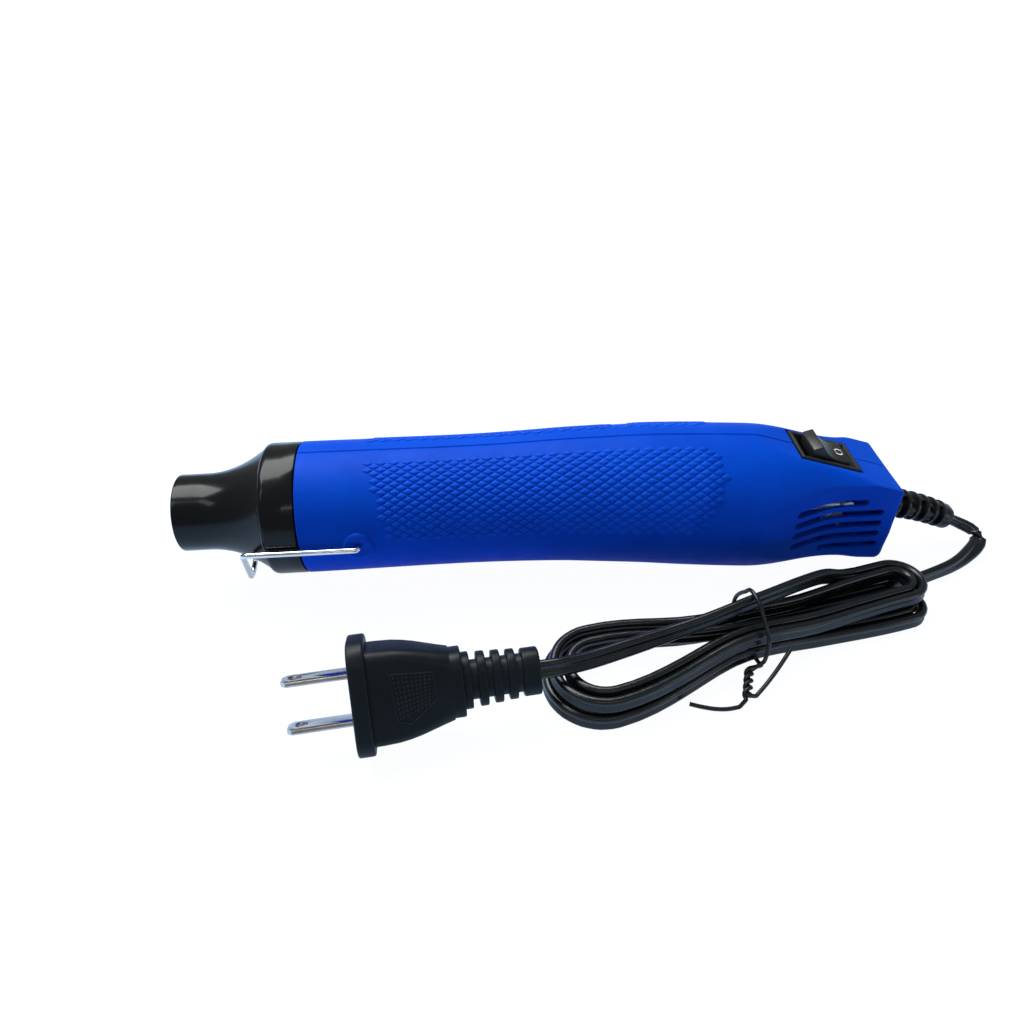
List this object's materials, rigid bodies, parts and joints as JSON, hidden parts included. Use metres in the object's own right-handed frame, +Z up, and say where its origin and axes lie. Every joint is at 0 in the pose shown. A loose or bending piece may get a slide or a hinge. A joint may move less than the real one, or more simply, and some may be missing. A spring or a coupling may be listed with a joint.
{
  "type": "embossing heat tool",
  "caption": "Slim hot air heat tool with a bent, tapered barrel, flared nozzle, folding wire stand, tail rocker switch, side air slots and a tied flat cord with a flat-blade plug.",
  "frame": {"origin": "on the table under the middle of the tool, halfway between the nozzle mouth and the tail face, on the housing seam", "axes": "+X along the tool from the nozzle to the tail, +Z up, the cord and plug lie towards -Y"},
  "size_m": [0.262, 0.1033, 0.0489],
  "materials": {
    "blue_plastic": "satin moulded",
    "steel": "zinc plated",
    "black_metal": "glossy enamel",
    "mica": "pressed mica",
    "heater_wire": "drawn wire",
    "grey_plastic": "moulded",
    "ivory_plastic": "moulded",
    "magnet": "sintered",
    "zinc_steel": "zinc plated",
    "black_plastic": "moulded",
    "board": "laminate",
    "black_gloss": "moulded, half gloss",
    "brass": "stamped",
    "white_pvc": "sleeve",
    "chrome_wire": "bright plated",
    "black_pvc": "half gloss",
    "cord_pvc": "half gloss",
    "tie_pvc": "half gloss",
    "plug_pvc": "satin",
    "nickel": "nickel plated"
  },
  "bodies": {
    "tool": {"housing_left": "blue_plastic", "housing_right": "blue_plastic", "housing_screws": "steel", "nozzle": "black_metal", "mica_sleeve": "mica", "mica_board_upright": "mica", "mica_board_level": "mica", "mica_discs": "mica", "heater_coil": "heater_wire", "thermal_cutout": "steel", "fan_duct": "grey_plastic", "motor_magnets": "magnet", "motor_can": "zinc_steel", "motor_end_cap": "black_plastic", "motor_bracket": "grey_plastic", "rectifier_board": "board", "rectifier_diodes": "black_plastic", "switch_frame": "black_gloss", "switch_terminals": "brass", "inner_leads": "white_pvc", "cord_clamp": "ivory_plastic", "clamp_screws": "steel", "cord_grip": "black_pvc", "cord_lead": "cord_pvc", "cord_hank": "cord_pvc", "cord_tail": "cord_pvc", "wire_tie": "tie_pvc", "plug_body": "plug_pvc", "plug_blades": "nickel"},
    "stand": {"stand": "chrome_wire"},
    "rocker": {"switch_rocker": "black_gloss", "switch_plunger": "ivory_plastic"},
    "contact": {"switch_contact": "brass"},
    "rotor": {"fan_impeller": "ivory_plastic", "motor_shaft": "steel"}
  },
  "joints": [
    {"name": "stand_swing", "type": "hinge", "parent": "tool", "child": "stand", "pos_m": [-0.056, 0, 0.02738], "axis": [0, -1, 0], "range_deg": [0, 110]},
    {"name": "rocker_tip", "type": "hinge", "parent": "tool", "child": "rocker", "pos_m": [0.0893, 0, 0.03781], "axis": [0, -1, 0], "range_deg": [0, 28]},
    {"name": "contact_tip", "type": "hinge", "parent": "tool", "child": "contact", "pos_m": [0.08664, 0, 0.02974], "axis": [0, -1, 0], "range_deg": [-11.25, 0]},
    {"name": "rotor_spin", "type": "hinge", "parent": "tool", "child": "rotor", "pos_m": [0, 0, 0.02738], "axis": [1, 0, 0], "continuous": true}
  ],
  "couplings": [
    {"joint": "contact_tip", "follows": "rocker_tip", "ratio": -0.4}
  ]
}
